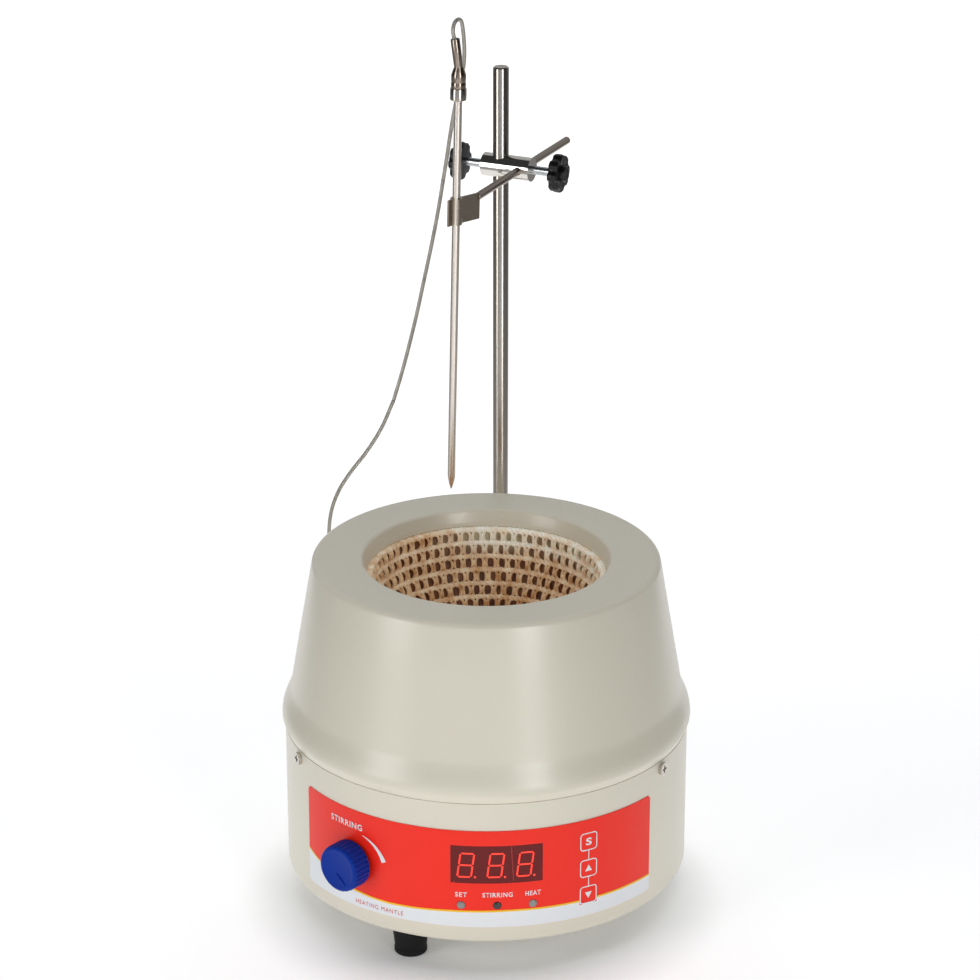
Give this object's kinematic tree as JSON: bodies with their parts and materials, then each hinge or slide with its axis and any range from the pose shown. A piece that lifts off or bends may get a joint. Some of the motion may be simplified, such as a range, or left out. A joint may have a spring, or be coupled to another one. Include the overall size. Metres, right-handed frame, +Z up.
{
  "type": "stirring heating mantle",
  "caption": "Stirring heating mantle: round housing with a knitted bowl, curved control panel, support rod, clamp and a temperature probe on a braided lead.",
  "frame": {"origin": "on the round body's axis, in the plane of the feet's undersides, at bench level", "axes": "+Z up, the control panel faces -Y, and the support rod stands behind the body at +Y"},
  "size_m": [0.202, 0.262, 0.4305],
  "materials": {
    "cream_paint": "satin",
    "steel": "brushed",
    "dark_steel": "brushed",
    "chrome": "polished",
    "zinc": "plated",
    "aluminium": "satin",
    "red_film": "gloss",
    "display_red": "gloss",
    "digit_block": "matte",
    "led_lens": "clear",
    "blue_plastic": "gloss",
    "black_plastic": "matte",
    "red_plastic": "gloss",
    "white_plastic": "matte",
    "board": "solder mask",
    "rubber": "matte",
    "knit": "knitted glass yarn",
    "insulation": "felted fibre",
    "heating_wire": "oxidised",
    "magnet": "nickel plated",
    "motor_case": "plated",
    "brass": "plain",
    "braid": "braided"
  },
  "bodies": {
    "base": {"base_housing": "cream_paint", "upper_housing": "cream_paint", "bottom_plate": "cream_paint", "feet": "rubber", "foot_screws": "zinc", "housing_screws": "chrome", "front_panel": "red_film", "display_window": "display_red", "display_module": "digit_block", "indicator_leds": "led_lens", "control_board": "board", "board_posts": "zinc", "key_switches": "black_plastic", "potentiometer": "zinc", "pot_nut": "zinc", "knit_bowl": "knit", "heating_element": "heating_wire", "insulation_bowl": "insulation", "support_bowl": "aluminium", "bowl_posts": "zinc", "stir_motor": "motor_case", "motor_bracket": "zinc", "frame_screws": "zinc", "heat_sink": "aluminium", "transformer": "dark_steel", "terminal_block": "white_plastic", "rod_socket": "aluminium", "power_inlet": "black_plastic", "inlet_pins": "brass", "power_switch": "black_plastic", "fuse_holder": "black_plastic", "probe_socket": "chrome", "lead_plug": "chrome", "lead_tail": "braid", "lead_coil": "braid", "lead_rise": "braid"},
    "stirring_knob": {"stir_knob": "blue_plastic", "pot_shaft": "aluminium"},
    "set_key": {"key_set": "red_film"},
    "up_key": {"key_up": "red_film"},
    "down_key": {"key_down": "red_film"},
    "rocker": {"power_rocker": "red_plastic"},
    "stirrer": {"motor_shaft": "steel", "magnet_holder": "aluminium", "magnets": "magnet"},
    "lock_screw": {"socket_screw": "dark_steel"},
    "rod": {"support_rod": "steel", "lead_lower": "braid"},
    "clamp": {"boss_head": "chrome", "lead_upper": "braid"},
    "rod_screw": {"rod_stud": "zinc", "rod_star_knob": "black_plastic"},
    "arm_screw": {"arm_stud": "zinc", "arm_star_knob": "black_plastic"},
    "arm": {"probe_arm": "steel", "probe_clip": "dark_steel", "lead_loop": "braid"},
    "probe": {"probe_sheath": "steel", "probe_collar": "steel", "probe_ferrule": "dark_steel"}
  },
  "joints": [
    {"name": "stirring_knob_turn", "type": "hinge", "parent": "base", "child": "stirring_knob", "pos_m": [-0.05878, -0.0809, 0.0485], "axis": [-0.5878, -0.809, 0], "range_deg": [-15, 270]},
    {"name": "set_key_press", "type": "slide", "parent": "base", "child": "set_key", "axis": [-0.5446, 0.8387, 0], "range_m": [0, 0.0004], "stiffness_N_per_m": 1500, "springref_m": -0.0003},
    {"name": "up_key_press", "type": "slide", "parent": "base", "child": "up_key", "axis": [-0.5446, 0.8387, 0], "range_m": [0, 0.0004], "stiffness_N_per_m": 1500, "springref_m": -0.0003},
    {"name": "down_key_press", "type": "slide", "parent": "base", "child": "down_key", "axis": [-0.5446, 0.8387, 0], "range_m": [0, 0.0004], "stiffness_N_per_m": 1500, "springref_m": -0.0003},
    {"name": "power_rocker_tilt", "type": "hinge", "parent": "base", "child": "rocker", "pos_m": [0.07917, 0.0534, 0.05], "axis": [-0.5592, 0.829, 0], "range_deg": [-16, 0]},
    {"name": "stirrer_spin", "type": "hinge", "parent": "base", "child": "stirrer", "pos_m": [0, 0, 0.06], "axis": [0, 0, 1], "continuous": true},
    {"name": "lock_screw_turn", "type": "hinge", "parent": "base", "child": "lock_screw", "pos_m": [0, 0.125, 0.048], "axis": [0, 1, 0], "range_deg": [0, 180]},
    {"name": "rod_swivel", "type": "hinge", "parent": "base", "child": "rod", "pos_m": [0, 0.112, 0.2], "axis": [0, 0, -1], "range_deg": [-30, 30], "deforming": ["lead_rise"]},
    {"name": "clamp_slide", "type": "slide", "parent": "rod", "child": "clamp", "axis": [0, 0, 1], "range_m": [-0.03, 0.035], "deforming": ["lead_lower"]},
    {"name": "rod_screw_turn", "type": "hinge", "parent": "clamp", "child": "rod_screw", "pos_m": [0, 0.112, 0.34], "axis": [-0.9336, 0.3584, 0], "range_deg": [0, 180]},
    {"name": "arm_screw_turn", "type": "hinge", "parent": "clamp", "child": "arm_screw", "pos_m": [0, 0.112, 0.34], "axis": [0.9336, -0.3584, 0], "range_deg": [0, 180]},
    {"name": "arm_slide", "type": "slide", "parent": "clamp", "child": "arm", "axis": [0.3584, 0.9336, 0], "range_m": [-0.025, 0.015], "deforming": ["lead_upper"]},
    {"name": "probe_slide", "type": "slide", "parent": "arm", "child": "probe", "axis": [0.0209, 0, 0.9998], "range_m": [-0.03, 0.03], "deforming": ["lead_loop"]}
  ]
}
